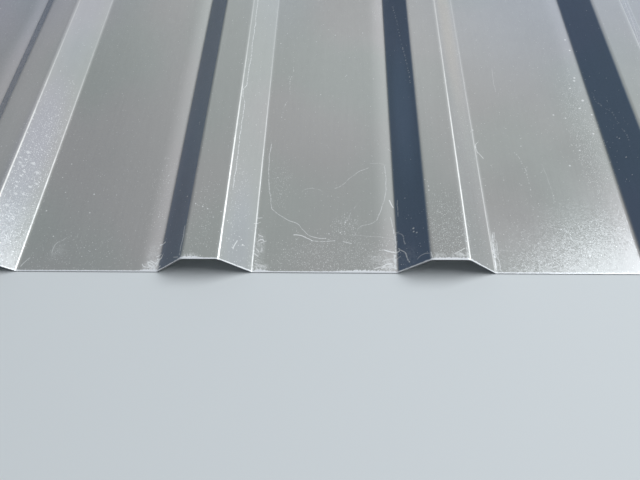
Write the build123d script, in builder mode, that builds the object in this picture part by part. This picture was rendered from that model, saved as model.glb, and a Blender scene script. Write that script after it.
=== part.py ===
# Corrugated metal sheet: a trapezoidal roofing and cladding sheet, cold rolled from one flat
# strip of coated steel. Seven ribs run along its length with flat pans between them. The two
# outer ribs are the side laps: the overlap goes over the next sheet's underlap, so its free
# edge comes down further than the underlap's does.
# Millimetres. X runs across the ribs, Y along them and Z up. The undersides of the pans lie at
# Z = 0, and the origin is at the middle of the sheet's footprint.

from build123d import *
import os
from math import atan2, degrees

LENGTH = 2000.0
COVER_WIDTH = 1100.0
RIB_COUNT = 7
RIB_HEIGHT = 20.0
CROWN_WIDTH = 27.0
RIB_BASE = 73.0
THICKNESS = 0.5
# Inside radii of the bends
CROWN_BEND_RADIUS = 5.0
FOOT_BEND_RADIUS = 3.5
# How far the free edge of each side lap stays above the pans
OVERLAP_EDGE_HEIGHT = 4.0
UNDERLAP_EDGE_HEIGHT = 12.0

pitch = COVER_WIDTH / (RIB_COUNT - 1)
web_run = (RIB_BASE - CROWN_WIDTH) / 2
web_angle = degrees(atan2(RIB_HEIGHT, web_run))


def lap_web_run(edge_height):
    """Width of a side lap's outer web, which follows the slope of the other webs."""
    return web_run * (RIB_HEIGHT - edge_height) / RIB_HEIGHT


overlap_run = lap_web_run(OVERLAP_EDGE_HEIGHT)
underlap_run = lap_web_run(UNDERLAP_EDGE_HEIGHT)

# The laps differ in width, so the ribs stand a little to one side of the middle
middle_rib_x = (overlap_run - underlap_run) / 2
first_rib_x = middle_rib_x - COVER_WIDTH / 2
last_rib_x = middle_rib_x + COVER_WIDTH / 2


def rib_feet_and_crown(x):
    """Corners of a whole rib's underside, from its left foot to its right foot."""
    return [
        (x - RIB_BASE / 2, 0),
        (x - CROWN_WIDTH / 2, RIB_HEIGHT),
        (x + CROWN_WIDTH / 2, RIB_HEIGHT),
        (x + RIB_BASE / 2, 0),
    ]


underside = [
    (first_rib_x - CROWN_WIDTH / 2 - overlap_run, OVERLAP_EDGE_HEIGHT),
    *rib_feet_and_crown(first_rib_x)[1:],
]
for rib in range(1, RIB_COUNT - 1):
    underside += rib_feet_and_crown(first_rib_x + rib * pitch)
underside += [
    *rib_feet_and_crown(last_rib_x)[:-1],
    (last_rib_x + CROWN_WIDTH / 2 + underlap_run, UNDERLAP_EDGE_HEIGHT),
]

# A crown bend has its inside on the underside of the sheet, and a foot bend on the top
corner_radii = [
    CROWN_BEND_RADIUS if z == RIB_HEIGHT else FOOT_BEND_RADIUS + THICKNESS
    for x, z in underside[1:-1]
]

with BuildPart() as corrugated_sheet:
    with BuildSketch(Plane.XZ) as section:
        with BuildLine() as outline:
            strip = FilletPolyline(*underside, radius=corner_radii)
            offset(amount=THICKNESS, side=Side.LEFT, kind=Kind.ARC)
        make_face()
    extrude(amount=LENGTH / 2, both=True)

corrugated_sheet.part.label = "corrugated_sheet"

os.makedirs("parts", exist_ok=True)
export_step(corrugated_sheet.part, "parts/corrugated_sheet.step")

sheet_box = corrugated_sheet.part.bounding_box()
print("pitch", round(pitch, 2), "web angle", round(web_angle, 1))
print("size", sheet_box.size, "from", sheet_box.min)
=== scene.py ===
# Looks for a trapezoidal roofing sheet: a finely bent mesh of the sheet with its metallic
# coating, worn cut ends and scratches, on a plain pale floor in soft studio light.
# Metres. X runs across the ribs, Y along them and Z up, as in the frame.

import math

import bpy
import numpy as np
from mathutils import Matrix, Vector


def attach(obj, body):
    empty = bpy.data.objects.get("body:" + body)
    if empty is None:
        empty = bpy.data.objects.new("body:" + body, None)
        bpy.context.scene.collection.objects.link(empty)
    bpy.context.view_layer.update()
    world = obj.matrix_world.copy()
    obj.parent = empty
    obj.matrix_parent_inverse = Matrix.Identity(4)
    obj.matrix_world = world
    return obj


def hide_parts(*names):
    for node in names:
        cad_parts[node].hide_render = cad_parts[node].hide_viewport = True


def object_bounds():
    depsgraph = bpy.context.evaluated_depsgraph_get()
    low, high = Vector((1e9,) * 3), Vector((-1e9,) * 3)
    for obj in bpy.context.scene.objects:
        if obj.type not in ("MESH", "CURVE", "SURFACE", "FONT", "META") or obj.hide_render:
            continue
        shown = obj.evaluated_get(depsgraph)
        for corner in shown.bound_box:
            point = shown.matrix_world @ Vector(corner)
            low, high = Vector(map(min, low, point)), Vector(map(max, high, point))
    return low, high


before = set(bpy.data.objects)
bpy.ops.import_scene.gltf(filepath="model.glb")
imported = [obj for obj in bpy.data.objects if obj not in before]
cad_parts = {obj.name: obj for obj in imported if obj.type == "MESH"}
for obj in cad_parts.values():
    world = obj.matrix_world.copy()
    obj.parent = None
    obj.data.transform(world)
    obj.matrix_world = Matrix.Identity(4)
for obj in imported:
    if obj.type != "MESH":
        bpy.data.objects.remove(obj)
cad_low, cad_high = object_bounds()

MM = 0.001
NODE = "corrugated_sheet"

# The sheet's section, in the sizes that it is rolled to
COVER_WIDTH = 1100 * MM
RIB_COUNT = 7
RIB_HEIGHT = 20 * MM
CROWN_WIDTH = 27 * MM
RIB_BASE = 73 * MM
THICKNESS = 0.5 * MM
CROWN_BEND_RADIUS = 5.0 * MM
FOOT_BEND_RADIUS = 3.5 * MM
OVERLAP_EDGE_HEIGHT = 4 * MM
UNDERLAP_EDGE_HEIGHT = 12 * MM

PITCH = COVER_WIDTH / (RIB_COUNT - 1)
PITCH_MM = PITCH / MM
WEB_RUN = (RIB_BASE - CROWN_WIDTH) / 2
WEB_SLOPE = RIB_HEIGHT / WEB_RUN
FRONT_END = cad_low.y
BACK_END = cad_high.y


def lap_web_run(edge_height):
    """Width of a side lap's outer web down to its free edge."""
    return (RIB_HEIGHT - edge_height) / WEB_SLOPE


MIDDLE_RIB_X = (lap_web_run(OVERLAP_EDGE_HEIGHT) - lap_web_run(UNDERLAP_EDGE_HEIGHT)) / 2
FIRST_RIB_X = MIDDLE_RIB_X - COVER_WIDTH / 2


def rib_x(rib):
    """Middle of a rib's crown. Rib 0 is the overlap."""
    return FIRST_RIB_X + rib * PITCH


# The first rib that the photo shows whole, and its left foot. The marks and the camera are placed
# from there.
PHOTO_RIB = 2
PHOTO_FOOT_X = rib_x(PHOTO_RIB) - RIB_BASE / 2

# How finely the sheet is meshed
BEND_SEGMENTS = 6
PAN_SEGMENTS = 10
WEB_SEGMENTS = 3
CROWN_SEGMENTS = 3
ROWS = 80
GUARD = 0.4 * MM

# Its materials: weather side, backing side and the cut rim between them
WEATHER, BACKING, RIM = 0, 1, 2

# Slight waves that rolling leaves in the pans: each one's share, its length along the sheet in
# metres, how it slants across the sheet and where it starts
WAVE_HEIGHT = 0.12 * MM
WAVES = [(1.0, 0.37, 9.0, 0.0), (0.6, 0.23, -14.0, 1.3)]
# They fade out over this height above the pans
WAVE_FADE_HEIGHT = 0.5 * MM


def corner_points():
    """Corners of the underside before bending, from the overlap's free edge to the underlap's."""
    points = [(rib_x(0) - CROWN_WIDTH / 2 - lap_web_run(OVERLAP_EDGE_HEIGHT), OVERLAP_EDGE_HEIGHT)]
    for rib in range(RIB_COUNT):
        x = rib_x(rib)
        if rib > 0:
            points.append((x - RIB_BASE / 2, 0.0))
        points.append((x - CROWN_WIDTH / 2, RIB_HEIGHT))
        points.append((x + CROWN_WIDTH / 2, RIB_HEIGHT))
        if rib < RIB_COUNT - 1:
            points.append((x + RIB_BASE / 2, 0.0))
    last = rib_x(RIB_COUNT - 1) + CROWN_WIDTH / 2 + lap_web_run(UNDERLAP_EDGE_HEIGHT)
    points.append((last, UNDERLAP_EDGE_HEIGHT))
    return [Vector(p) for p in points]


def flat_stretch(start, end, segments):
    """Points along a flat, with a guard point near each end that keeps the bend's shading out."""
    along = end - start
    guard = GUARD / along.length
    steps = [0.0, guard] + [i / segments for i in range(1, segments)] + [1 - guard, 1.0]
    return [start + along * t for t in steps]


def section_points():
    """The underside's section as points with their upward normals, with its bends as arcs."""
    corners = corner_points()
    path = []
    start = corners[0]
    for i in range(1, len(corners) - 1):
        before, corner, after = corners[i - 1], corners[i], corners[i + 1]
        towards, away = (corner - before).normalized(), (after - corner).normalized()
        turn = abs(towards.angle_signed(away))
        crown = corner.y > RIB_HEIGHT / 2
        radius = CROWN_BEND_RADIUS if crown else FOOT_BEND_RADIUS + THICKNESS
        tangent = radius * math.tan(turn / 2)
        arc_start, arc_end = corner - towards * tangent, corner + away * tangent
        # The flat before this corner is a crown, a pan or a web
        level = before.y == corner.y
        segments = WEB_SEGMENTS if not level else CROWN_SEGMENTS if crown else PAN_SEGMENTS
        normal = Vector((-towards.y, towards.x))
        path += [(p, normal) for p in flat_stretch(start, arc_start, segments)]
        side = -1 if crown else 1
        centre = arc_start + normal * radius * side
        for k in range(1, BEND_SEGMENTS):
            angle = turn * k / BEND_SEGMENTS * side
            spoke = Matrix.Rotation(angle, 2) @ normal
            path.append((centre - spoke * radius * side, spoke))
        start = arc_end
    towards = (corners[-1] - start).normalized()
    normal = Vector((-towards.y, towards.x))
    path += [(p, normal) for p in flat_stretch(start, corners[-1], WEB_SEGMENTS)]
    return path


def sheet_points(path):
    """The mesh's points, row by row from the front end: the weather side's, then the backing
    side's."""
    low = np.array([p for p, _ in path])
    normal = np.array([n for _, n in path])
    high = low + normal * THICKNESS
    x_low, y_grid = np.meshgrid(low[:, 0], np.linspace(FRONT_END, BACK_END, ROWS + 1))
    wave = sum(
        share * np.sin(y_grid * 2 * np.pi / length + x_low * slant + start)
        for share, length, slant, start in WAVES
    )
    wave_range = 2 * sum(share for share, *_ in WAVES)
    on_flat = np.clip(1 - low[:, 1] / WAVE_FADE_HEIGHT, 0, 1)
    lift = WAVE_HEIGHT * (wave / wave_range + 0.5) * on_flat
    sides = []
    for side in (high, low):
        z = side[:, 1] + lift
        x = np.broadcast_to(side[:, 0], z.shape)
        sides.append(np.stack([x, y_grid, z], axis=-1).reshape(-1, 3))
    return np.concatenate(sides)


def sheet_faces(columns):
    """The mesh's faces and the material of each: both sides, and the rim that joins them."""
    back = (ROWS + 1) * columns
    faces, kinds = [], []

    def at(row, column):
        return row * columns + column

    for row in range(ROWS):
        for column in range(columns - 1):
            a, b = at(row, column), at(row, column + 1)
            c, d = at(row + 1, column + 1), at(row + 1, column)
            faces += [(a, b, c, d), (d + back, c + back, b + back, a + back)]
            kinds += [WEATHER, BACKING]
    for column in range(columns - 1):
        a, b = at(0, column), at(0, column + 1)
        faces.append((a + back, b + back, b, a))
        a, b = at(ROWS, column), at(ROWS, column + 1)
        faces.append((a, b, b + back, a + back))
        kinds += [RIM, RIM]
    for row in range(ROWS):
        a, b = at(row, 0), at(row + 1, 0)
        faces.append((a, b, b + back, a + back))
        a, b = at(row, columns - 1), at(row + 1, columns - 1)
        faces.append((a + back, b + back, b, a))
        kinds += [RIM, RIM]
    return faces, kinds


def sheet_mesh():
    """The sheet as one closed mesh, smooth but for its rim."""
    path = section_points()
    faces, kinds = sheet_faces(len(path))
    mesh = bpy.data.meshes.new("rolled_sheet")
    mesh.from_pydata(sheet_points(path).tolist(), [], faces)
    mesh.polygons.foreach_set("material_index", kinds)
    mesh.polygons.foreach_set("use_smooth", [kind != RIM for kind in kinds])
    mesh.validate()
    mesh.update()
    rim = {i for p in mesh.polygons if p.material_index == RIM for i in p.vertices}
    for edge in mesh.edges:
        if edge.vertices[0] in rim and edge.vertices[1] in rim:
            edge.use_edge_sharp = True
    return mesh


def new_material(name):
    """An empty node material and its Principled shader."""
    material = bpy.data.materials.new(name)
    material.use_nodes = True
    shader = material.node_tree.nodes["Principled BSDF"]
    return material, material.node_tree, shader


def add(tree, kind, inputs=None, output=0, **settings):
    """Adds one shader node and gives one of its outputs. Each input is a plain value or the
    output that feeds it."""
    node = tree.nodes.new("ShaderNode" + kind)
    for name, value in settings.items():
        setattr(node, name, value)
    for key, value in (inputs or {}).items():
        if isinstance(value, bpy.types.NodeSocket):
            tree.links.new(value, node.inputs[key])
        else:
            node.inputs[key].default_value = value
    return node.outputs[output]


def calc(tree, operation, *values):
    """A number worked out from numbers."""
    return add(tree, "Math", dict(enumerate(values)), operation=operation)


def remap(tree, value, from_min, from_max, to_min=0.0, to_max=1.0, smooth=False):
    """A number carried from one range to another, and held at the ends. A smooth step holds there
    by itself, and needs no clamp."""
    inputs = {"Value": value, "From Min": from_min, "From Max": from_max,
              "To Min": to_min, "To Max": to_max}
    kind = "SMOOTHSTEP" if smooth else "LINEAR"
    return add(tree, "MapRange", inputs, interpolation_type=kind, clamp=not smooth)


# Places of the Mix node's sockets: its factor, two numbers, two colours and the mixed colour
FACTOR = 0
NUMBER_A, NUMBER_B = 2, 3
COLOUR_A, COLOUR_B = 6, 7
MIXED_COLOUR = 2


def blend(tree, factor, first, second, mode="MIX"):
    """Two colours mixed."""
    inputs = {FACTOR: factor, COLOUR_A: first, COLOUR_B: second}
    return add(tree, "Mix", inputs, MIXED_COLOUR, data_type="RGBA", blend_type=mode)


def noise(tree, place, scale, detail=0.0, output=0, stretch=None):
    """Noise over the sheet, with its scale in waves a millimetre."""
    if stretch:
        place = add(tree, "VectorMath", {0: place, 1: stretch}, operation="MULTIPLY")
    inputs = {"Vector": place, "Scale": scale, "Detail": detail}
    return add(tree, "TexNoise", inputs, output, noise_dimensions="2D")


def curve(tree, value, points, smooth=True):
    """A smooth or straight-lined curve through points, both ways in 0 to 1."""
    socket = add(tree, "FloatCurve", {"Value": value})
    mapping = socket.node.mapping
    line = mapping.curves[0]
    line.points[0].location, line.points[-1].location = points[0], points[-1]
    for point in points[1:-1]:
        line.points.new(*point)
    for point in line.points:
        point.handle_type = "AUTO" if smooth else "VECTOR"
    mapping.update()
    return socket


class SheetPlace:
    """Where a point lies on the sheet, in millimetres, for one material's nodes: x from the left
    foot of the photo's first whole rib, y from the front end, across from the left foot of the
    rib that the point is on or to the right of, and end from the nearer cut end."""

    def __init__(self, tree):
        here = add(tree, "TexCoord", None, "Object")
        corner = (PHOTO_FOOT_X, FRONT_END, 0)
        shifted = add(tree, "VectorMath", {0: here, 1: corner}, operation="SUBTRACT")
        self.vector = add(tree, "VectorMath", {0: shifted, 3: 1 / MM}, operation="SCALE")
        self.x, self.y = add(tree, "SeparateXYZ", {0: self.vector}).node.outputs[:2]
        self.across = calc(tree, "FLOORED_MODULO", self.x, PITCH_MM)
        from_back = calc(tree, "SUBTRACT", (BACK_END - FRONT_END) / MM, self.y)
        self.end = calc(tree, "MINIMUM", self.y, from_back)


# Share of a mark's reach over which it is at full strength
SPECK_CORE = 0.4
STROKE_CORE = 0.3
PATCH_CORE = 0.2
# The smallest specks reach this many times their size, and the largest 1 more
LEAST_SPECK = 0.5


def speck_mask(tree, place, cell, size, density):
    """Scattered bright specks, one at most in each cell, where the density allows them."""
    inputs = {"Vector": place.vector, "Scale": 1 / cell}
    node = add(tree, "TexVoronoi", inputs, voronoi_dimensions="2D").node
    pick = add(tree, "SeparateColor", {0: node.outputs["Color"]}).node
    reach = calc(tree, "MULTIPLY_ADD", pick.outputs[1], size / cell, size / cell * LEAST_SPECK)
    core = calc(tree, "MULTIPLY", reach, SPECK_CORE)
    dot = remap(tree, node.outputs["Distance"], reach, core, smooth=True)
    return calc(tree, "MULTIPLY", dot, calc(tree, "LESS_THAN", pick.outputs[0], density))


# Scratches and drag marks on the weather side: which way they mostly run, their points in
# millimetres from the left foot of the photo's first whole rib and from the front end, half
# their width, how strong they are, and how much of them is broken up
ALONG, ACROSS = "along", "across"
SCRATCHES = [
    # The wandering scratches of the middle pan
    (ALONG, [(84, 59), (83, 65), (81, 78), (79, 95), (78, 116), (79, 130)], 0.45, 0.65, 0.2),
    (ACROSS, [(84, 59), (91, 53), (98, 48), (106, 44), (110, 39), (118, 32), (129, 31)], 0.42, 0.8, 0.1),
    (ACROSS, [(103, 34), (106, 34), (115, 30), (118, 28)], 0.5, 1.0, 0.0),
    (ACROSS, [(117, 28), (128, 28), (136, 29)], 0.42, 0.8, 0.3),
    (ACROSS, [(108, 76), (114, 80), (121, 79), (125, 76)], 0.45, 0.35, 0.4),
    (ACROSS, [(135, 80), (142, 84), (148, 91), (156, 98), (164, 102)], 0.45, 0.55, 0.3),
    (ACROSS, [(165, 107), (171, 107), (177, 106)], 0.4, 0.3, 0.3),
    (ALONG, [(169, 48), (174, 62), (177, 74), (178, 90), (178, 99), (177, 106)], 0.45, 0.6, 0.2),
    (ACROSS, [(153, 38), (156, 42), (163, 44), (169, 48)], 0.45, 0.45, 0.2),
    (ALONG, [(183, 60), (180, 68)], 0.7, 1.0, 0.0),
    (ALONG, [(182, 36), (181, 44), (180, 51)], 0.5, 0.6, 0.2),
    (ACROSS, [(174, 20), (182, 18), (184, 18), (186, 19)], 0.85, 1.0, 0.0),
    (ACROSS, [(170, 20), (174, 20)], 0.5, 0.5, 0.2),
    (ALONG, [(182, 35), (182, 39)], 0.6, 0.8, 0.0),
    (ACROSS, [(182, 36), (186, 35)], 0.4, 0.6, 0.0),
    (ALONG, [(183, 22), (184, 28)], 0.5, 0.7, 0.0),
    (ACROSS, [(182, 11), (186, 13)], 0.4, 0.7, 0.0),
    (ALONG, [(182, 3), (181.5, 8), (182, 16)], 1.4, 1.0, 0.1),
    (ALONG, [(183, 16), (183, 35)], 0.9, 0.8, 0.2),
    (ALONG, [(182, 8), (182, 13), (181, 16)], 0.8, 1.0, 0.1),
    (ACROSS, [(173, 5), (177, 7.5), (180, 6)], 0.7, 1.0, 0.0),
    (ACROSS, [(166, 3), (170, 4.5), (175, 5)], 0.7, 0.8, 0.0),
    (ACROSS, [(172, 5), (177, 8), (180, 8)], 0.6, 1.0, 0.0),
    (ACROSS, [(172, 10), (177, 12), (181, 12)], 0.6, 0.8, 0.1),
    (ACROSS, [(171, 3), (176, 5), (182, 4)], 0.8, 0.9, 0.1),
    (ACROSS, [(165, 3), (168, 4)], 0.5, 0.6, 0.0),
    (ACROSS, [(159, 14), (174, 14)], 0.9, 0.8, 0.6),
    (ACROSS, [(75, 34), (79, 32)], 0.6, 0.9, 0.0),
    (ACROSS, [(75, 26), (75.5, 28), (77, 29), (79, 29), (80, 28)], 0.75, 1.0, 0.0),
    (ACROSS, [(77, 26), (79, 27), (82, 28)], 0.5, 0.7, 0.0),
    (ACROSS, [(74.5, 21), (76, 19), (77, 18)], 0.7, 0.9, 0.0),
    (ALONG, [(78, 18), (79, 20), (79, 22), (78.5, 24)], 0.7, 0.7, 0.1),
    (ACROSS, [(73.5, 17), (75, 15), (76.5, 14)], 0.9, 0.8, 0.0),
    (ACROSS, [(74, 8), (79, 6), (84, 4)], 0.8, 0.6, 0.3),
    (ACROSS, [(142, 28), (149, 26)], 0.45, 0.8, 0.0),
    (ACROSS, [(147, 34), (171, 32), (181, 31)], 0.35, 0.3, 0.2),
    (ALONG, [(144, 46), (148, 54), (153, 63), (157, 68)], 0.5, 0.4, 0.6),
    (ACROSS, [(144, 215), (146, 218)], 0.5, 0.7, 0.0),
    (ACROSS, [(181, 123), (184, 120)], 0.5, 0.5, 0.0),
    (ALONG, [(86, 161), (89, 181), (92, 193), (91, 206), (93, 219), (94, 227), (93, 245)], 0.7, 0.5, 0.75),
    (ACROSS, [(71, 43), (76, 46)], 0.5, 0.6, 0.0),
    (ACROSS, [(73, 50), (77, 50)], 0.5, 0.6, 0.0),
    # The first whole rib
    (ALONG, [(54, 66), (54, 96), (54, 142), (54, 163), (52, 174), (54, 189), (54, 340)], 0.4, 0.65, 0.4),
    (ALONG, [(59, 13), (60, 18), (61, 22)], 0.5, 0.6, 0.0),
    (ALONG, [(21, 4), (21.5, 17), (21.5, 30)], 0.6, 0.6, 0.1),
    (ACROSS, [(15, 5), (20, 3)], 0.6, 0.5, 0.0),
    # The pan to its left
    (ALONG, [(-87, 15), (-87, 20), (-85, 26), (-82, 28), (-79, 31)], 0.5, 0.5, 0.2),
    (ALONG, [(-108, 4), (-106, 8), (-103, 12)], 0.6, 0.6, 0.0),
    (ACROSS, [(-8, 8), (-4, 6), (-1, 4)], 0.5, 0.7, 0.2),
    (ACROSS, [(-2, 24), (3, 25)], 0.8, 1.0, 0.0),
    (ACROSS, [(-2, 11), (1, 11), (3, 14)], 1.0, 1.0, 0.0),
    (ACROSS, [(-3, 13), (1, 15)], 0.7, 0.9, 0.0),
    (ACROSS, [(-9, 8), (-4, 5), (-2, 8), (0, 4)], 0.8, 1.0, 0.0),
    (ACROSS, [(-13, 7), (-9, 4), (-5, 5), (-1, 2)], 0.8, 0.9, 0.1),
    (ACROSS, [(-8, 3), (-4, 8), (-1, 7)], 0.6, 0.9, 0.1),
    (ACROSS, [(-9, 8.5), (-6, 7.5), (-3, 5)], 0.7, 1.0, 0.0),
    (ACROSS, [(-7, 9.5), (-3, 7.5), (-1, 5)], 0.7, 1.0, 0.0),
    (ACROSS, [(-1.5, 9), (0, 10), (2.5, 11)], 0.8, 1.0, 0.0),
    (ACROSS, [(-8, 6), (-5, 4), (-2, 3)], 0.7, 1.0, 0.0),
    (ACROSS, [(0, 3), (2.5, 4)], 0.8, 1.0, 0.0),
    (ALONG, [(-1, 5), (0, 10)], 0.7, 0.9, 0.0),
    # The second whole rib
    (ALONG, [(203, 180), (202, 205), (200, 230), (198, 250), (196, 280), (192, 321)], 0.6, 0.55, 0.75),
    (ALONG, [(186, 50), (186, 66)], 0.5, 0.4, 0.3),
    (ALONG, [(190, 22), (189, 25), (188, 31), (183, 35)], 0.5, 0.45, 0.2),
    (ALONG, [(192, 5), (190, 10), (189, 15), (187, 18), (185, 21)], 0.6, 0.8, 0.1),
    (ACROSS, [(197, 5), (200, 7), (203, 7), (206, 4)], 0.5, 0.5, 0.2),
    (ACROSS, [(223, 5), (229, 9), (231, 10)], 0.5, 0.7, 0.0),
    (ALONG, [(207, 2), (206, 7)], 0.5, 0.7, 0.0),
    (ALONG, [(260, 29), (260, 37)], 0.5, 0.5, 0.2),
    (ALONG, [(262, 112), (260, 116), (257, 120)], 0.5, 0.7, 0.0),
    (ALONG, [(258, 118), (257, 125), (260, 131)], 0.5, 0.6, 0.0),
    # The pan and rib to its right
    (ALONG, [(284, 193), (284, 206), (285, 226)], 0.45, 0.3, 0.3),
    (ALONG, [(380, 114), (381, 122), (379, 139), (378, 153), (371, 175), (370, 189)], 0.6, 0.25, 0.7),
    (ALONG, [(295, 70), (296, 90), (294, 106), (288, 121)], 0.5, 0.5, 0.6),
    (ALONG, [(313, 66), (312, 88), (310, 106)], 0.35, 0.25, 0.4),
    (ALONG, [(257, 4), (257.5, 12), (258, 23), (259, 37)], 0.7, 0.8, 0.2),
    (ALONG, [(260, 3), (260.5, 14), (261, 30)], 0.5, 0.6, 0.3),
    (ALONG, [(420, 236), (425, 262), (429, 290), (430, 340)], 0.6, 0.5, 0.2),
]
# Single chips: where each lies and half its width
CHIPS = [
    (144, 46, 0.9), (140, 36, 0.9), (131, 35, 0.7), (134, 277, 0.8), (162, 280, 0.8), (115, 267, 0.7),
    (171, 212, 0.7), (121, 191, 0.7), (79, 265, 0.8), (-95, 107, 0.8), (-99, 92, 0.7), (-92, 76, 0.7),
    (-67, 74, 0.9), (-66, 55, 0.8), (-103, 57, 0.9), (-90, 32, 0.8), (-7, 94, 0.7), (-6, 86, 0.7),
    (-8, 51, 0.7), (363, 266, 1.3), (364, 250, 1.3), (360, 211, 1.4), (359, 207, 1.5), (353, 197, 1.2),
    (361, 181, 1.7), (356, 171, 1.4), (365, 163, 1.3), (361, 140, 1.2), (345, 121, 1.1), (333, 104, 1.1),
    (331, 163, 1.0), (341, 159, 1.0), (257, 125, 0.9), (296, 126, 0.7), (257, 145, 0.8), (209, 63, 0.8),
    (209, 67, 0.7), (27, 50, 0.8), (33, 47, 0.8), (18, 60, 0.8), (37, 45, 0.8), (65, 20, 0.9),
    (196, 33, 1.0), (196, 30, 0.8), (198, 28, 0.8), (75, 10, 1.0),
]
CHIP_STRENGTH = 0.85
# Large pale dried drops: where each lies and half its width
DROPS = [
    (-127, 108, 1.9), (-130, 100, 1.1), (-127, 100, 1.0), (-129, 95, 1.5), (-122, 99, 1.9), (-127, 93, 1.3),
    (-125, 88, 1.3), (-118, 92, 2.0), (-126, 83, 1.4), (-127, 76, 1.2), (-119, 76, 1.6), (-116, 81, 1.4),
    (-126, 72, 1.3), (-125, 65, 1.6), (-121, 67, 1.4), (-118, 55, 1.4), (-127, 52, 1.6), (-122, 44, 1.3),
]
DROP_STRENGTH = 0.5

# Room beside a stroke's points in its curve, in millimetres
STROKE_ROOM = 1
# How far a stroke wanders from its points, and how often
DRIFT = 1.0
DRIFT_SCALE = 0.12
# Strokes with more gaps than this are rows of dots
DOTTED_FROM = 0.5
BEAD_CELL = 2.2
BEAD_SIZE = 0.9
BEAD_DENSITY = 0.8
# The others are broken up by noise: its scale and detail, the range over which it brings them
# back, how far that range rises with the gaps, and how much of a stroke is left in its breaks
# where it has few
BREAKING_NOISE = (0.5, 2.0)
BREAK_RANGE = (0.32, 0.45)
BREAK_RISE = 0.2
LEFT_IN_BREAKS = 0.4


def stroke_line(tree, place, drift, way, points, half_width, strength):
    """How strongly each point lies on one unbroken stroke."""
    run, side = (1, 0) if way == ALONG else (0, 1)
    travel, offset = (place.y, place.x) if way == ALONG else (place.x, place.y)
    first, last = points[0][run], points[-1][run]
    low = min(p[side] for p in points) - STROKE_ROOM
    span = max(p[side] for p in points) + STROKE_ROOM - low
    shape = sorted(((p[run] - first) / (last - first), (p[side] - low) / span) for p in points)
    limits = {"Value": travel, "From Min": first, "From Max": last}
    share = add(tree, "MapRange", limits, clamp=False)
    middle = calc(tree, "MULTIPLY_ADD", curve(tree, share, shape), span, low)
    off = calc(tree, "ABSOLUTE", calc(tree, "SUBTRACT", calc(tree, "ADD", offset, drift), middle))
    line = remap(tree, off, half_width, half_width * STROKE_CORE, 0, strength, smooth=True)
    return calc(tree, "MULTIPLY", line, calc(tree, "COMPARE", share, 0.5, 0.5))


def stroke_breaks(tree, place):
    """What breaks leave of a stroke at each point, for each share of gaps in the list."""
    broken = noise(tree, place.vector, *BREAKING_NOISE)
    breaks = {}
    for gaps in sorted({stroke[-1] for stroke in SCRATCHES}):
        low, high = (limit + gaps * BREAK_RISE for limit in BREAK_RANGE)
        if gaps > DOTTED_FROM:
            breaks[gaps] = speck_mask(tree, place, BEAD_CELL, BEAD_SIZE, BEAD_DENSITY)
        elif gaps > 0:
            left = LEFT_IN_BREAKS - gaps * LEFT_IN_BREAKS
            breaks[gaps] = remap(tree, broken, low, high, left, smooth=True)
    return breaks


def scratch_mask(tree, place, drift):
    """How much each point is scratched bright, from the lists above."""
    breaks = stroke_breaks(tree, place)
    total = 0.0
    for way, points, half_width, strength, gaps in SCRATCHES:
        line = stroke_line(tree, place, drift, way, points, half_width, strength)
        if gaps:
            line = calc(tree, "MULTIPLY", line, breaks[gaps])
        total = calc(tree, "MAXIMUM", total, line)
    flat = add(tree, "CombineXYZ", {0: place.x, 1: place.y})
    for spots, strength in ((CHIPS, CHIP_STRENGTH), (DROPS, DROP_STRENGTH)):
        for x, y, half_width in spots:
            away = add(tree, "VectorMath", {0: flat, 1: (x, y, 0)}, "Value", operation="DISTANCE")
            spot = remap(tree, away, half_width, half_width * STROKE_CORE, 0, strength, smooth=True)
            total = calc(tree, "MAXIMUM", total, spot)
    return total


# Soft-edged patches: middle, half sizes and strength, in millimetres. Scuffs stand at the
# corners where sheets are handled, specks of dust and dried drops lie thicker in places, and
# more zinc is bare in places along the front end.
SCUFFS = [
    (-5, 5, 9, 9, 1.0), (-6, 16, 8, 14, 0.4), (77, 22, 6, 22, 0.55), (78, 4, 9, 7, 1.0),
    (177, 6, 9, 9, 1.0), (172, 10, 16, 14, 0.4), (191, 10, 9, 14, 0.4), (258, 19, 3, 20, 1.0),
    (227, 4, 9, 4, 0.9), (212, 3, 8, 4, 0.6), (29, 2, 10, 4, 0.9), (-83, 18, 8, 12, 0.2),
]
SPECKLED = [
    (353, 140, 18, 110, 1.0), (-122, 85, 18, 150, 1.1), (-124, 92, 9, 30, 0.8), (178, 312, 8, 25, 0.6),
    (-70, 10, 50, 40, 0.12), (220, 25, 24, 50, 0.9), (140, 12, 70, 30, 0.8), (144, 42, 16, 18, 1.0),
    (58, 60, 10, 60, 0.35), (90, 85, 14, 35, 0.4), (-10, 70, 14, 60, 0.35), (310, 20, 60, 60, 0.35),
    (375, 140, 10, 90, 0.2), (35, 40, 16, 45, 0.35),
]
STRIPPED = [
    (158, 0, 34, 10, 0.7), (29, 0, 12, 10, 0.75), (-6, 0, 12, 10, 0.8), (222, 0, 26, 10, 0.6),
    (79, 0, 9, 10, 0.7),
]


def patches(tree, place, spots):
    """How deep each point lies in any of some soft-edged patches."""
    flat = add(tree, "CombineXYZ", {0: place.x, 1: place.y})
    total = 0.0
    for x, y, half_x, half_y, strength in spots:
        away = add(tree, "VectorMath", {0: flat, 1: (x, y, 0)}, operation="SUBTRACT")
        away = add(tree, "VectorMath", {0: away, 1: (1 / half_x, 1 / half_y, 0)}, operation="MULTIPLY")
        size = add(tree, "VectorMath", {0: away}, "Value", operation="LENGTH")
        patch = remap(tree, size, 1.0, PATCH_CORE, 0, strength, smooth=True)
        total = calc(tree, "MAXIMUM", total, patch)
    return total


# The stretch whose scratches are listed above, with soft limits
LISTED_MIDDLE = 110
LISTED_HALF_WIDTH = (330, 380)
LISTED_LENGTH = (340, 420)

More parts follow.
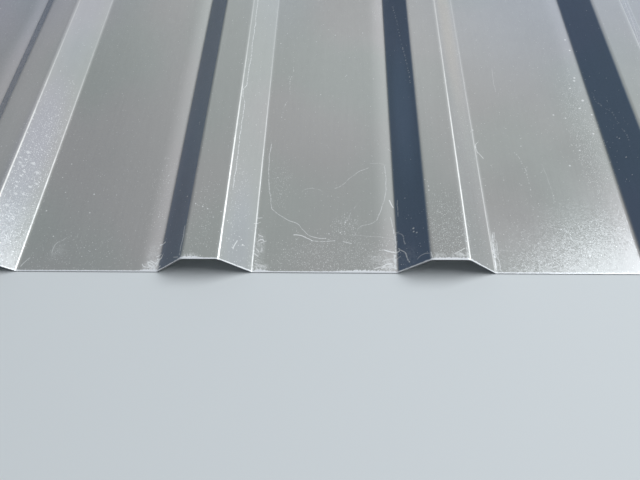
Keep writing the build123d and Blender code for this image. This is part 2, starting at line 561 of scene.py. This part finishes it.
# Stray scratches beyond it are edges between cells, bent by noise and kept in places: the noise
# that bends them and how far, in millimetres, the scale of the cells, how wide a line is as a
# share of a cell, and the noise that keeps lines, with its range
STRAY_BEND_NOISE = (0.02, 1.0)
STRAY_BEND = 60
STRAY_CELL_SCALE = 0.011
STRAY_LINE = (0.0035, 0.001)
STRAY_KEPT_NOISE = (0.03, 1.0)
STRAY_KEPT_RANGE = (0.55, 0.68)
STRAY_STRENGTH = 0.25


def beyond_listed(tree, place):
    """How far each point lies outside that stretch, from 0 to 1 over its soft limits."""
    off = calc(tree, "ABSOLUTE", calc(tree, "SUBTRACT", place.x, LISTED_MIDDLE))
    past_end, past_side = remap(tree, place.y, *LISTED_LENGTH), remap(tree, off, *LISTED_HALF_WIDTH)
    return calc(tree, "MAXIMUM", past_end, past_side)


def stray_scratches(tree, place, beyond):
    """Long faint curved scratches on the rest of the sheet."""
    bend = noise(tree, place.vector, *STRAY_BEND_NOISE, output="Color")
    inputs = {0: bend, 1: (STRAY_BEND, STRAY_BEND, 0), 2: place.vector}
    bent = add(tree, "VectorMath", inputs, operation="MULTIPLY_ADD")
    inputs = {"Vector": bent, "Scale": STRAY_CELL_SCALE}
    cells = add(tree, "TexVoronoi", inputs, feature="DISTANCE_TO_EDGE", voronoi_dimensions="2D")
    line = remap(tree, cells, *STRAY_LINE, smooth=True)
    kept = remap(tree, noise(tree, place.vector, *STRAY_KEPT_NOISE), *STRAY_KEPT_RANGE)
    line = calc(tree, "MULTIPLY", calc(tree, "MULTIPLY", line, kept), beyond)
    return calc(tree, "MULTIPLY", line, STRAY_STRENGTH)


# The grey coating and the clear coat over it
COATING_COLOUR = (0.381, 0.369, 0.354)
COATING_ROUGHNESS = 0.7
CLEAR_ROUGHNESS = 0.185
CLEAR_IOR = 2.1

# Tone across one rib pitch, from a rib's left foot: the left web is painted darker and bluer, as
# painted shade where it faces away from the light, and the pan's right side is painted paler, as
# painted light reflected onto it off the left web beside it
LEFT_WEB_SHADE_TINT = (0.345, 0.475, 0.71, 1)
WEB_EDGE_WIDTH = 1.5
BOUNCE_LIGHT_WIDTH = 18
BOUNCE_LIGHT_FULL_WIDTH = 1
BOUNCE_LIGHT_STRENGTH = 0.62
BOUNCE_LIGHT_COLOUR = (0.66, 0.62, 0.60, 1)
# Between these two places across the sheet the painted reflected light fades to this share
BOUNCE_LIGHT_FADES = (200, 330)
FADED_BOUNCE_LIGHT = 0.415

# Flakes in the coating
FLAKE_SIZE = 0.75
FLAKE_CONTRAST = 0.02
FLAKE_TILT = 0.065
FLAKE_LEAST_CLEAR = 0.6

# Streaks of the rolling and clouds of tone: how much they vary it, and their noise's scale and
# detail. Streaks are stretched along the sheet.
ROLLED = (1, 0.02, 1)
STREAK_CONTRAST = 0.06
STREAK_NOISE = (0.5, 1.0)
CLOUD_CONTRAST = 0.06
CLOUD_NOISE = (0.012, 2.0)

# Hue of the coating in large soft clouds, green and warm, and painted bluish reflection in blue, lavender and
# slate
HUE_NOISE = (0.009, 1.0)
HUE_STRETCH = (1, 0.6, 1)
HUE_RANGE = (0.4, 0.6)
CLOUD_GREEN = (0.965, 1.0, 0.975, 1)
CLOUD_WARM = (1.03, 1.0, 1.0, 1)
BLUE_REFLECTION_TINT = (0.93, 1.0, 1.14, 1)
LAVENDER_REFLECTION_TINT = (0.99, 1.0, 1.13, 1)
SLATE_REFLECTION_TINT = (0.91, 1.0, 1.06, 1)
CLOUD_BEIGE = (1.06, 1.0, 0.9, 1)
# Share of the clouds of hue that a left web gets
HUE_ON_WEB = 0.2
# How strong the bluish clouds of painted reflection are on the rest of the sheet, the range of
# noise over which they come up, and the noise for each of their tints
FAR_REFLECTION_CLOUDS = 0.3
FAR_RANGE = (0.42, 0.66)
FAR_REFLECTION_TINTS = [((0.0041, 1.0), BLUE_REFLECTION_TINT), ((0.0053, 1.0), LAVENDER_REFLECTION_TINT)]
# Where the photo has these clouds, and paler and darker ones, in the form of the patches above
# The blue, lavender and slate patches are painted reflection
BLUE_REFLECTION_CLOUDS = [(400, 380, 260, 260, 1.0)]
SLATE_REFLECTION_CLOUDS = [(12, 40, 16, 220, 1.0)]
BEIGE_CLOUDS = [(245, 350, 15, 240, 1.0)]
LAVENDER_REFLECTION_CLOUDS = [
    (-200, 420, 170, 240, 1.0), (75, 400, 70, 180, 0.5), (-125, 100, 16, 170, 0.9), (-125, 330, 20, 200, 0.7),
    (62, 20, 14, 90, 0.6),
]
PALE_CLOUDS = [
    (150, 220, 80, 130, 0.11), (215, 220, 30, 130, 0.11), (275, 270, 60, 110, 0.09),
    (-190, 220, 25, 150, 0.16), (195, 170, 12, 120, 0.3), (245, 280, 16, 200, 0.2),
    (-255, 360, 90, 300, 0.18), (-147, 230, 24, 260, 0.2),
]
DARK_CLOUDS = [
    (222, 15, 30, 80, 0.11), (290, 70, 50, 60, 0.09), (345, 115, 40, 40, 0.08), (12, 20, 14, 130, 0.22),
    (-125, 0, 14, 40, 0.08), (-2, 60, 16, 80, 0.05), (62, 10, 12, 40, 0.07), (245, 15, 18, 110, 0.1),
]

# Bare and worn metal. Specks: size of their cells, their own size and their strength.
SPECKS = [(5.3, 0.4, 0.85), (2.7, 0.33, 0.8), (1.5, 0.27, 0.8), (1.05, 0.22, 0.8)]
BRIGHT_MARK = (0.93, 0.905, 0.885, 1)
# How densely specks lie: everywhere, at the cut ends and how far in from them, in the speckled
# patches, in scuffs, and on left webs as a share of what they would be
LEAST_SPECKS = 0.015
END_SPECKS = 0.045
END_SPECKS_REACH = 60
PATCH_SPECKS = 0.45
SCUFF_SPECKS = 0.25
SPECKS_ON_WEB = 0.22
# Scuffs: how strong they are on left webs, their fine lines in two directions, each with its
# stretch and turn, and the haze between the lines
SCUFFS_ON_WEB = 0.3
SCUFF_LINES = [((0.18, 1.1, 1), 0.5), ((1.0, 0.2, 1), -0.4)]
SCUFF_LINE_NOISE = (1.0, 2.0)
SCUFF_LINE_RANGE = (0.56, 0.66)
SCUFF_LINE_STRENGTH = 0.8
HAZE_NOISE = (0.35, 3.0)
HAZE_RANGE = (0.4, 0.66)
HAZE_STRENGTH = 0.6
SCUFF_ROUGHNESS = 0.08
# Worn bends, the crown's right one and the right foot, painted bright partly as wear and partly as
# a painted glint of the light in the bend: each one's distance from the rib's left foot, half width
# and strength. The marks are patchy along the bend and grow towards the ends, where sheets are
# handled, and the painted glint grows with them.
WORN_AND_GLINTING_BENDS = [
    ((WEB_RUN + CROWN_WIDTH) / MM + 0.6, 0.8, 0.95),
    (RIB_BASE / MM - 0.5, 0.7, 0.6),
]
WEAR_AND_GLINT_NOISE = (0.3, 2.0)
WEAR_AND_GLINT_STRETCH = (1, 0.25, 1)
WEAR_AND_GLINT_RANGE = (0.35, 0.62)
LEAST_WEAR_AND_GLINT = 0.75
HANDLED_AND_GLINT_RANGE = (260, 90)
LEAST_HANDLED_AND_GLINT = 0.3
POLISHED_METALLIC = 0.9
POLISHED_ROUGHNESS = 0.38
# Zinc at the cut ends: how wide its ragged band is, how much wider where more is stripped, the
# least share of it, its noise and how soft its edge is, in millimetres
ZINC_COLOUR = (0.93, 0.915, 0.92, 1)
ZINC_BAND = 1.05
STRIPPED_BAND = 2.8
LEAST_ZINC = 0.5
ZINC_NOISE = (0.6, 3.0)
ZINC_EDGE = 0.3
# Roughness varies by this much with noise over this range
ROUGHNESS_SPREAD = 0.05
ROUGHNESS_NOISE = (0.05, 3.0)
NOISE_RANGE = (0.3, 0.7)


def vary(tree, tone, value, contrast):
    """A tone varied by a number that lies around a half."""
    return calc(tree, "MULTIPLY_ADD", calc(tree, "SUBTRACT", value, 0.5), contrast, tone)


def left_web_mask(tree, place):
    """1 on the webs that face left and 0 elsewhere."""
    share = calc(tree, "DIVIDE", place.across, PITCH_MM)
    edge, top = WEB_EDGE_WIDTH / PITCH_MM, WEB_RUN / MM / PITCH_MM
    return curve(tree, share, [(0, 0), (edge, 1), (top - edge, 1), (top, 0), (1, 0)], smooth=False)


def on_web(tree, left_web, strength):
    """1 off the left webs and a lower strength on them."""
    return remap(tree, left_web, 0, 1, 1, strength)


def grey_coating(tree, place, flake, left_web):
    """Colour of the coating from its flakes, streaks and clouds of tone, with painted shade on the left webs
    and painted reflected light on the pans' right sides.
    """
    streak = noise(tree, place.vector, *STREAK_NOISE, stretch=ROLLED)
    cloud = noise(tree, place.vector, *CLOUD_NOISE)
    tone = vary(tree, 1.0, flake, FLAKE_CONTRAST)
    tone = vary(tree, tone, streak, STREAK_CONTRAST)
    tone = vary(tree, tone, cloud, CLOUD_CONTRAST)
    tone = calc(tree, "ADD", tone, patches(tree, place, PALE_CLOUDS))
    tone = calc(tree, "SUBTRACT", tone, patches(tree, place, DARK_CLOUDS))
    colour = add(tree, "VectorMath", {0: COATING_COLOUR, 3: tone}, operation="SCALE")
    # Painted shade: the left webs, which face away from the light, darker and bluer
    colour = blend(tree, left_web, colour, LEFT_WEB_SHADE_TINT, "MULTIPLY")
    # Painted light: a paler band on each pan's right side, as if reflected off the left web beside it
    faded_bounce = remap(tree, place.x, *BOUNCE_LIGHT_FADES, BOUNCE_LIGHT_STRENGTH, BOUNCE_LIGHT_STRENGTH * FADED_BOUNCE_LIGHT)
    bounce_from, bounce_to = PITCH_MM - BOUNCE_LIGHT_WIDTH, PITCH_MM - BOUNCE_LIGHT_FULL_WIDTH
    bounce_light = remap(tree, place.across, bounce_from, bounce_to, 0, faded_bounce, smooth=True)
    return blend(tree, bounce_light, colour, BOUNCE_LIGHT_COLOUR)


def hue_and_reflection_clouds(tree, place, colour, left_web, beyond):
    """The colour under its clouds of hue and of painted bluish reflection: everywhere, where the photo
    has them, and fainter on the rest of the sheet."""
    hue = remap(tree, noise(tree, place.vector, *HUE_NOISE, stretch=HUE_STRETCH), *HUE_RANGE)
    tint = blend(tree, hue, CLOUD_GREEN, CLOUD_WARM)
    colour = blend(tree, 1.0, colour, tint, "MULTIPLY")
    off_web = on_web(tree, left_web, HUE_ON_WEB)
    # Painted reflection in blue, lavender and slate, and a beige tint, where the patches lie
    for spots, tint, where in (
        (BLUE_REFLECTION_CLOUDS, BLUE_REFLECTION_TINT, off_web),
        (LAVENDER_REFLECTION_CLOUDS, LAVENDER_REFLECTION_TINT, off_web),
        (BEIGE_CLOUDS, CLOUD_BEIGE, off_web),
        (SLATE_REFLECTION_CLOUDS, SLATE_REFLECTION_TINT, left_web),
    ):
        depth = calc(tree, "MULTIPLY", patches(tree, place, spots), where)
        colour = blend(tree, depth, colour, tint, "MULTIPLY")
    # Painted bluish reflection in faint clouds over the rest of the sheet
    for far_noise, tint in FAR_REFLECTION_TINTS:
        depth = remap(tree, noise(tree, place.vector, *far_noise), *FAR_RANGE, 0, FAR_REFLECTION_CLOUDS)
        depth = calc(tree, "MULTIPLY", calc(tree, "MULTIPLY", depth, beyond), off_web)
        colour = blend(tree, depth, colour, tint, "MULTIPLY")
    return colour


def speck_density(tree, place, scuffed, left_web):
    """How densely specks lie at each point."""
    near_end = remap(tree, place.end, END_SPECKS_REACH, 0, 0, END_SPECKS, smooth=True)
    density = calc(tree, "MULTIPLY_ADD", patches(tree, place, SPECKLED), PATCH_SPECKS, near_end)
    density = calc(tree, "ADD", density, LEAST_SPECKS)
    density = calc(tree, "MULTIPLY_ADD", scuffed, SCUFF_SPECKS, density)
    return calc(tree, "MULTIPLY", density, on_web(tree, left_web, SPECKS_ON_WEB))


def scuff_marks(tree, place, scuffed):
    """Fine lines in two directions, and haze between them, where the sheet is scuffed."""
    marks = 0.0
    for stretch, turn in SCUFF_LINES:
        turned = add(tree, "VectorRotate", {"Vector": place.vector, "Angle": turn}, rotation_type="Z_AXIS")
        lines = noise(tree, turned, *SCUFF_LINE_NOISE, stretch=stretch)
        lines = calc(tree, "MULTIPLY", remap(tree, lines, *SCUFF_LINE_RANGE), scuffed)
        marks = calc(tree, "MAXIMUM", marks, calc(tree, "MULTIPLY", lines, SCUFF_LINE_STRENGTH))
    haze = remap(tree, noise(tree, place.vector, *HAZE_NOISE), *HAZE_RANGE, 0.0, HAZE_STRENGTH)
    return calc(tree, "MAXIMUM", marks, calc(tree, "MULTIPLY", scuffed, haze))


def worn_and_glinting_bends(tree, place):
    """How far each point along the bends that rub is polished bare and painted bright, partly as wear and
    partly as a painted glint of the light.
    """
    patchy = remap(tree, noise(tree, place.vector, *WEAR_AND_GLINT_NOISE, stretch=WEAR_AND_GLINT_STRETCH), *WEAR_AND_GLINT_RANGE)
    handled_and_glint = remap(tree, place.end, *HANDLED_AND_GLINT_RANGE, LEAST_HANDLED_AND_GLINT, 1)
    patchy = calc(tree, "MULTIPLY", remap(tree, patchy, 0, 1, LEAST_WEAR_AND_GLINT, 1), handled_and_glint)
    polished_and_glint = 0.0
    for middle, width, wear_and_glint in WORN_AND_GLINTING_BENDS:
        off = calc(tree, "ABSOLUTE", calc(tree, "SUBTRACT", place.across, middle))
        worn_and_glint = remap(tree, off, width, width * STROKE_CORE, 0, wear_and_glint, smooth=True)
        polished_and_glint = calc(tree, "MAXIMUM", polished_and_glint, calc(tree, "MULTIPLY", worn_and_glint, patchy))
    return polished_and_glint


def zinc_mask(tree, place):
    """1 on the ragged bands of bare zinc along the cut ends and 0 elsewhere."""
    band = calc(tree, "MULTIPLY_ADD", patches(tree, place, STRIPPED), STRIPPED_BAND, ZINC_BAND)
    ragged = noise(tree, place.vector, *ZINC_NOISE)
    band = calc(tree, "MULTIPLY_ADD", ragged, band, ZINC_BAND * LEAST_ZINC)
    return remap(tree, calc(tree, "SUBTRACT", place.end, band), ZINC_EDGE, -ZINC_EDGE)


def coating_roughness(tree, place, scuffed, polished_and_glint):
    """Roughness: uneven all over, higher in scuffs and lower on polished metal."""
    least, most = COATING_ROUGHNESS - ROUGHNESS_SPREAD, COATING_ROUGHNESS + ROUGHNESS_SPREAD
    rough = remap(tree, noise(tree, place.vector, *ROUGHNESS_NOISE), *NOISE_RANGE, least, most)
    rough = calc(tree, "MULTIPLY_ADD", scuffed, SCUFF_ROUGHNESS, rough)
    return add(tree, "Mix", {FACTOR: polished_and_glint, NUMBER_A: rough, NUMBER_B: POLISHED_ROUGHNESS})


def flake_normal(tree, flakes):
    """The surface's normal, tilted a little by each flake."""
    tilt = add(tree, "VectorMath", {0: flakes, 1: (0.5, 0.5, 0.5)}, operation="SUBTRACT")
    tilt = add(tree, "VectorMath", {0: tilt, 3: FLAKE_TILT}, operation="SCALE")
    normal = add(tree, "NewGeometry", None, "Normal")
    normal = add(tree, "VectorMath", {0: normal, 1: tilt})
    return add(tree, "VectorMath", {0: normal}, operation="NORMALIZE")


def coating_material():
    """Weather side: metallic coil coating with its flakes, rolling streaks, scratches, specks,
    scuffed corners, bends painted bright partly as wear and partly as painted glint, and the bare zinc of the
    cut ends."""
    material, tree, shader = new_material("metallic_coating")
    place = SheetPlace(tree)
    inputs = {"Vector": place.vector, "Scale": 1 / FLAKE_SIZE}
    flakes = add(tree, "TexVoronoi", inputs, "Color", voronoi_dimensions="2D")
    flake, glint = add(tree, "SeparateColor", {0: flakes}).node.outputs[:2]
    left_web = left_web_mask(tree, place)
    beyond = beyond_listed(tree, place)
    colour = grey_coating(tree, place, flake, left_web)
    colour = hue_and_reflection_clouds(tree, place, colour, left_web, beyond)

    # Wear, and painted glint along the bends
    drift = calc(tree, "SUBTRACT", noise(tree, place.vector, DRIFT_SCALE), 0.5)
    marks = scratch_mask(tree, place, calc(tree, "MULTIPLY", drift, DRIFT))
    scuffed = calc(tree, "MULTIPLY", patches(tree, place, SCUFFS), on_web(tree, left_web, SCUFFS_ON_WEB))
    density = speck_density(tree, place, scuffed, left_web)
    for cell, size, strength in SPECKS:
        dots = calc(tree, "MULTIPLY", speck_mask(tree, place, cell, size, density), strength)
        marks = calc(tree, "MAXIMUM", marks, dots)
    marks = calc(tree, "MAXIMUM", marks, stray_scratches(tree, place, beyond))
    marks = calc(tree, "MAXIMUM", marks, scuff_marks(tree, place, scuffed))
    # Bends painted bright: partly wear, partly a painted glint of the light
    polished_and_glint = worn_and_glinting_bends(tree, place)
    marks = calc(tree, "MAXIMUM", marks, polished_and_glint)
    colour = blend(tree, marks, colour, BRIGHT_MARK)
    colour = blend(tree, zinc_mask(tree, place), colour, ZINC_COLOUR)

    # Gloss
    rough = coating_roughness(tree, place, scuffed, polished_and_glint)
    metallic = calc(tree, "MULTIPLY", polished_and_glint, POLISHED_METALLIC)
    clear = remap(tree, glint, 0, 1, FLAKE_LEAST_CLEAR, 1)
    for value, socket in (
        (colour, "Base Color"),
        (rough, "Roughness"),
        (metallic, "Metallic"),
        (flake_normal(tree, flakes), "Coat Normal"),
        (clear, "Coat Weight"),
    ):
        tree.links.new(value, shader.inputs[socket])
    shader.inputs["Coat Roughness"].default_value = CLEAR_ROUGHNESS
    shader.inputs["Coat IOR"].default_value = CLEAR_IOR
    return material


# Underside and cut rim
BACKING_COLOUR = (0.34, 0.36, 0.36)
BACKING_STREAK = 0.25
BACKING_STREAK_NOISE = (0.3, 2.0)
BACKING_MOTTLE = 0.15
BACKING_MOTTLE_NOISE = (0.06, 3.0)
BACKING_ROUGHNESS = (0.5, 0.62)
TORN_NOISE = (1.2, 2.0)
TORN_STRETCH = (1, 1, 4)
TORN_RANGE = (0.35, 0.65)
# The rim's steel is painted darker than bare steel, as painted shade along the cut ends
SHADED_RUBBED_STEEL = (0.10, 0.10, 0.11, 1)
SHADED_TORN_STEEL = (0.30, 0.30, 0.32, 1)
RIM_ROUGHNESS = (0.35, 0.6)
RIM_METALLIC = 0.9


def backing_material():
    """Backing side: a thin dull lacquer with rolling streaks and a faint mottle."""
    material, tree, shader = new_material("backing_lacquer")
    place = SheetPlace(tree)
    streak = noise(tree, place.vector, *BACKING_STREAK_NOISE, stretch=ROLLED)
    mottle = noise(tree, place.vector, *BACKING_MOTTLE_NOISE)
    tone = vary(tree, 1.0, streak, BACKING_STREAK)
    tone = vary(tree, tone, mottle, BACKING_MOTTLE)
    colour = add(tree, "VectorMath", {0: BACKING_COLOUR, 3: tone}, operation="SCALE")
    tree.links.new(colour, shader.inputs["Base Color"])
    tree.links.new(remap(tree, mottle, *NOISE_RANGE, *BACKING_ROUGHNESS), shader.inputs["Roughness"])
    return material


def cut_edge_material():
    """Sheared steel on the rim, painted darker than bare steel as painted shade, bright where it tore
    and dull where the blade rubbed.
    """
    material, tree, shader = new_material("sheared_steel_painted_dark")
    place = SheetPlace(tree)
    grain = noise(tree, place.vector, *TORN_NOISE, stretch=TORN_STRETCH)
    colour = blend(tree, remap(tree, grain, *TORN_RANGE), SHADED_RUBBED_STEEL, SHADED_TORN_STEEL)
    tree.links.new(colour, shader.inputs["Base Color"])
    tree.links.new(remap(tree, grain, *NOISE_RANGE, *RIM_ROUGHNESS), shader.inputs["Roughness"])
    shader.inputs["Metallic"].default_value = RIM_METALLIC
    return material


def make_sheet():
    """The visible sheet, which stands for the frame's own plain one."""
    sheet = bpy.data.objects.new("rolled_sheet", sheet_mesh())
    bpy.context.collection.objects.link(sheet)
    for material in (coating_material(), backing_material(), cut_edge_material()):
        sheet.data.materials.append(material)
    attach(sheet, "root")
    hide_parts(NODE)


# The camera as fitted to the photo's bend lines: how far it stands to the right of the first
# whole rib's left foot, before the front end and above the pans, and how it is turned
CAMERA_RIGHT = 140.6 * MM
CAMERA_BACK = 204.3 * MM
CAMERA_UP = 368.7 * MM
CAMERA_PITCH = math.radians(57.59)
CAMERA_LEFT_TURN = math.radians(4.05)
CAMERA_ROLL = math.radians(-3.25)
FOCAL_PIXELS = 556.4
PHOTO_WIDTH = 640
SENSOR_WIDTH_MM = 36
CLIP_RANGE = (0.01, 100)


def make_camera():
    """The camera at the photo's viewpoint."""
    data = bpy.data.cameras.new("camera")
    data.sensor_width = SENSOR_WIDTH_MM
    data.lens = FOCAL_PIXELS / PHOTO_WIDTH * SENSOR_WIDTH_MM
    data.clip_start, data.clip_end = CLIP_RANGE
    camera = bpy.data.objects.new("camera", data)
    bpy.context.collection.objects.link(camera)
    place = Vector((
        PHOTO_FOOT_X + CAMERA_RIGHT,
        FRONT_END - CAMERA_BACK,
        THICKNESS + CAMERA_UP,
    ))
    turn = (
        Matrix.Rotation(CAMERA_LEFT_TURN, 4, "Z")
        @ Matrix.Rotation(math.pi / 2 - CAMERA_PITCH, 4, "X")
        @ Matrix.Rotation(CAMERA_ROLL, 4, "Z")
    )
    camera.matrix_world = Matrix.Translation(place) @ turn
    bpy.context.scene.camera = camera


# The floor is a square that lies a little under the sheet
FLOOR_HALF = 30.0
FLOOR_GAP = 0.3 * MM
FLOOR_COLOUR = (0.8, 0.8, 0.79, 1)
FLOOR_ROUGHNESS = 0.9
FLOOR_SPECULAR = 0.1


def make_floor():
    """A plain pale floor that reaches past every view."""
    z = cad_low.z - FLOOR_GAP
    mesh = bpy.data.meshes.new("floor")
    sides = ((-1, -1), (1, -1), (1, 1), (-1, 1))
    corners = [(x * FLOOR_HALF, y * FLOOR_HALF, z) for x, y in sides]
    mesh.from_pydata(corners, [], [(0, 1, 2, 3)])
    floor = bpy.data.objects.new("floor", mesh)
    bpy.context.collection.objects.link(floor)
    material, _, shader = new_material("floor")
    shader.inputs["Base Color"].default_value = FLOOR_COLOUR
    shader.inputs["Roughness"].default_value = FLOOR_ROUGHNESS
    shader.inputs["Specular IOR Level"].default_value = FLOOR_SPECULAR
    floor.data.materials.append(material)


# The key stands to the right and beyond, where the photo's light comes from
KEY_AZIMUTH = math.radians(78.65)
KEY_ELEVATION = math.radians(54.85)
KEY_DISTANCE = 4.0
KEY_SIZE = 3.15
KEY_IRRADIANCE = 0.94
KEY_COLOUR = (0.934, 1.0, 1.052)
# How far behind the front end the key points
KEY_AIM = 0.15
FILL_COLOUR = (0.75, 0.88, 1.0, 1)
FILL_STRENGTH = 0.162

# The surround is pale. In reflections it is dimmer overhead and dark towards the left, so that
# the webs that face that way come out slate.
BACKDROP_COLOUR = (0.92, 0.95, 1.0, 1)
SURROUND_LOW = (0.94, 1.0, 1.0, 1)
SURROUND_HIGH = (0.26, 0.252, 0.208, 1)
SURROUND_LOW_TO = 0.45
SURROUND_HIGH_FROM = 0.9
DARK_SIDE_COLOUR = (0.01, 0.025, 0.045, 1)
DARK_FROM = -0.216
DARK_TO = -0.475


def make_key():
    """A large soft round lamp."""
    light = bpy.data.lights.new("key", "AREA")
    light.shape = "DISK"
    light.size = KEY_SIZE
    # A disk lamp of this power lights a surface that faces it to the wanted share of its colour
    light.energy = KEY_IRRADIANCE * math.pi * math.pi * KEY_DISTANCE**2
    light.color = KEY_COLOUR
    key = bpy.data.objects.new("key", light)
    bpy.context.collection.objects.link(key)
    direction = Vector((
        math.cos(KEY_ELEVATION) * math.sin(KEY_AZIMUTH),
        math.cos(KEY_ELEVATION) * math.cos(KEY_AZIMUTH),
        math.sin(KEY_ELEVATION),
    ))
    target = Vector((0, FRONT_END + KEY_AIM, 0))
    key.location = target + direction * KEY_DISTANCE
    key.rotation_mode = "QUATERNION"
    key.rotation_quaternion = direction.to_track_quat("Z", "Y")


def make_world():
    """A pale backdrop for the camera and for reflections, and a dim cool fill for the rest."""
    world = bpy.data.worlds.new("surround")
    bpy.context.scene.world = world
    world.use_nodes = True
    tree = world.node_tree

    def background(colour, strength=1.0):
        return add(tree, "Background", {"Color": colour, "Strength": strength})

    def mix(factor, first, second):
        return add(tree, "MixShader", {0: factor, 1: first, 2: second})

    direction = add(tree, "TexCoord", None, "Generated")
    across, _, height = add(tree, "SeparateXYZ", {0: direction}).node.outputs
    overhead = remap(tree, height, SURROUND_LOW_TO, SURROUND_HIGH_FROM)
    leftwards = remap(tree, across, DARK_FROM, DARK_TO, smooth=True)
    mirrored = mix(overhead, background(SURROUND_LOW), background(SURROUND_HIGH))
    mirrored = mix(leftwards, mirrored, background(DARK_SIDE_COLOUR))
    rays = add(tree, "LightPath").node.outputs
    seen = calc(tree, "MAXIMUM", rays["Is Camera Ray"], rays["Is Transmission Ray"])
    surround = mix(rays["Is Glossy Ray"], background(FILL_COLOUR, FILL_STRENGTH), mirrored)
    surround = mix(seen, surround, background(BACKDROP_COLOUR))
    tree.links.new(surround, tree.nodes["World Output"].inputs["Surface"])


bpy.context.scene.view_settings.view_transform = "Standard"
make_camera()
make_floor()
make_key()
make_world()
make_sheet()
